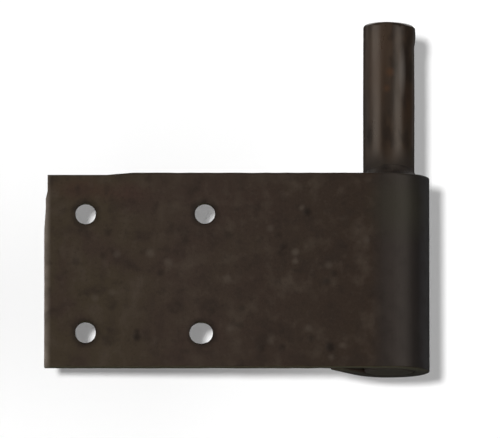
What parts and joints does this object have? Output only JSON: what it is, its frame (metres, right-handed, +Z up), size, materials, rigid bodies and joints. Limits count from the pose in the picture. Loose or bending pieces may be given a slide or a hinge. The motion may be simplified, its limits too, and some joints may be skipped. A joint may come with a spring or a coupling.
{
  "type": "jamb pintle",
  "caption": "Rectangular steel plate with bolt holes whose end is rolled into an eye round a welded upright hinge pin.",
  "frame": {"origin": "centre of the four bolt holes, on the leaf's flat mounting face", "axes": "+Z up along the pin, towards its free end; -Y out of the mounting face; +X along the leaf towards the pin"},
  "size_m": [0.1247, 0.0261, 0.1137],
  "materials": {
    "plate_steel": "satin",
    "pin_steel": "satin",
    "weld_metal": "matte"
  },
  "bodies": {
    "root": {"leaf": "plate_steel", "pin": "pin_steel", "root_weld": "weld_metal", "seam_weld": "weld_metal"}
  },
  "joints": []
}
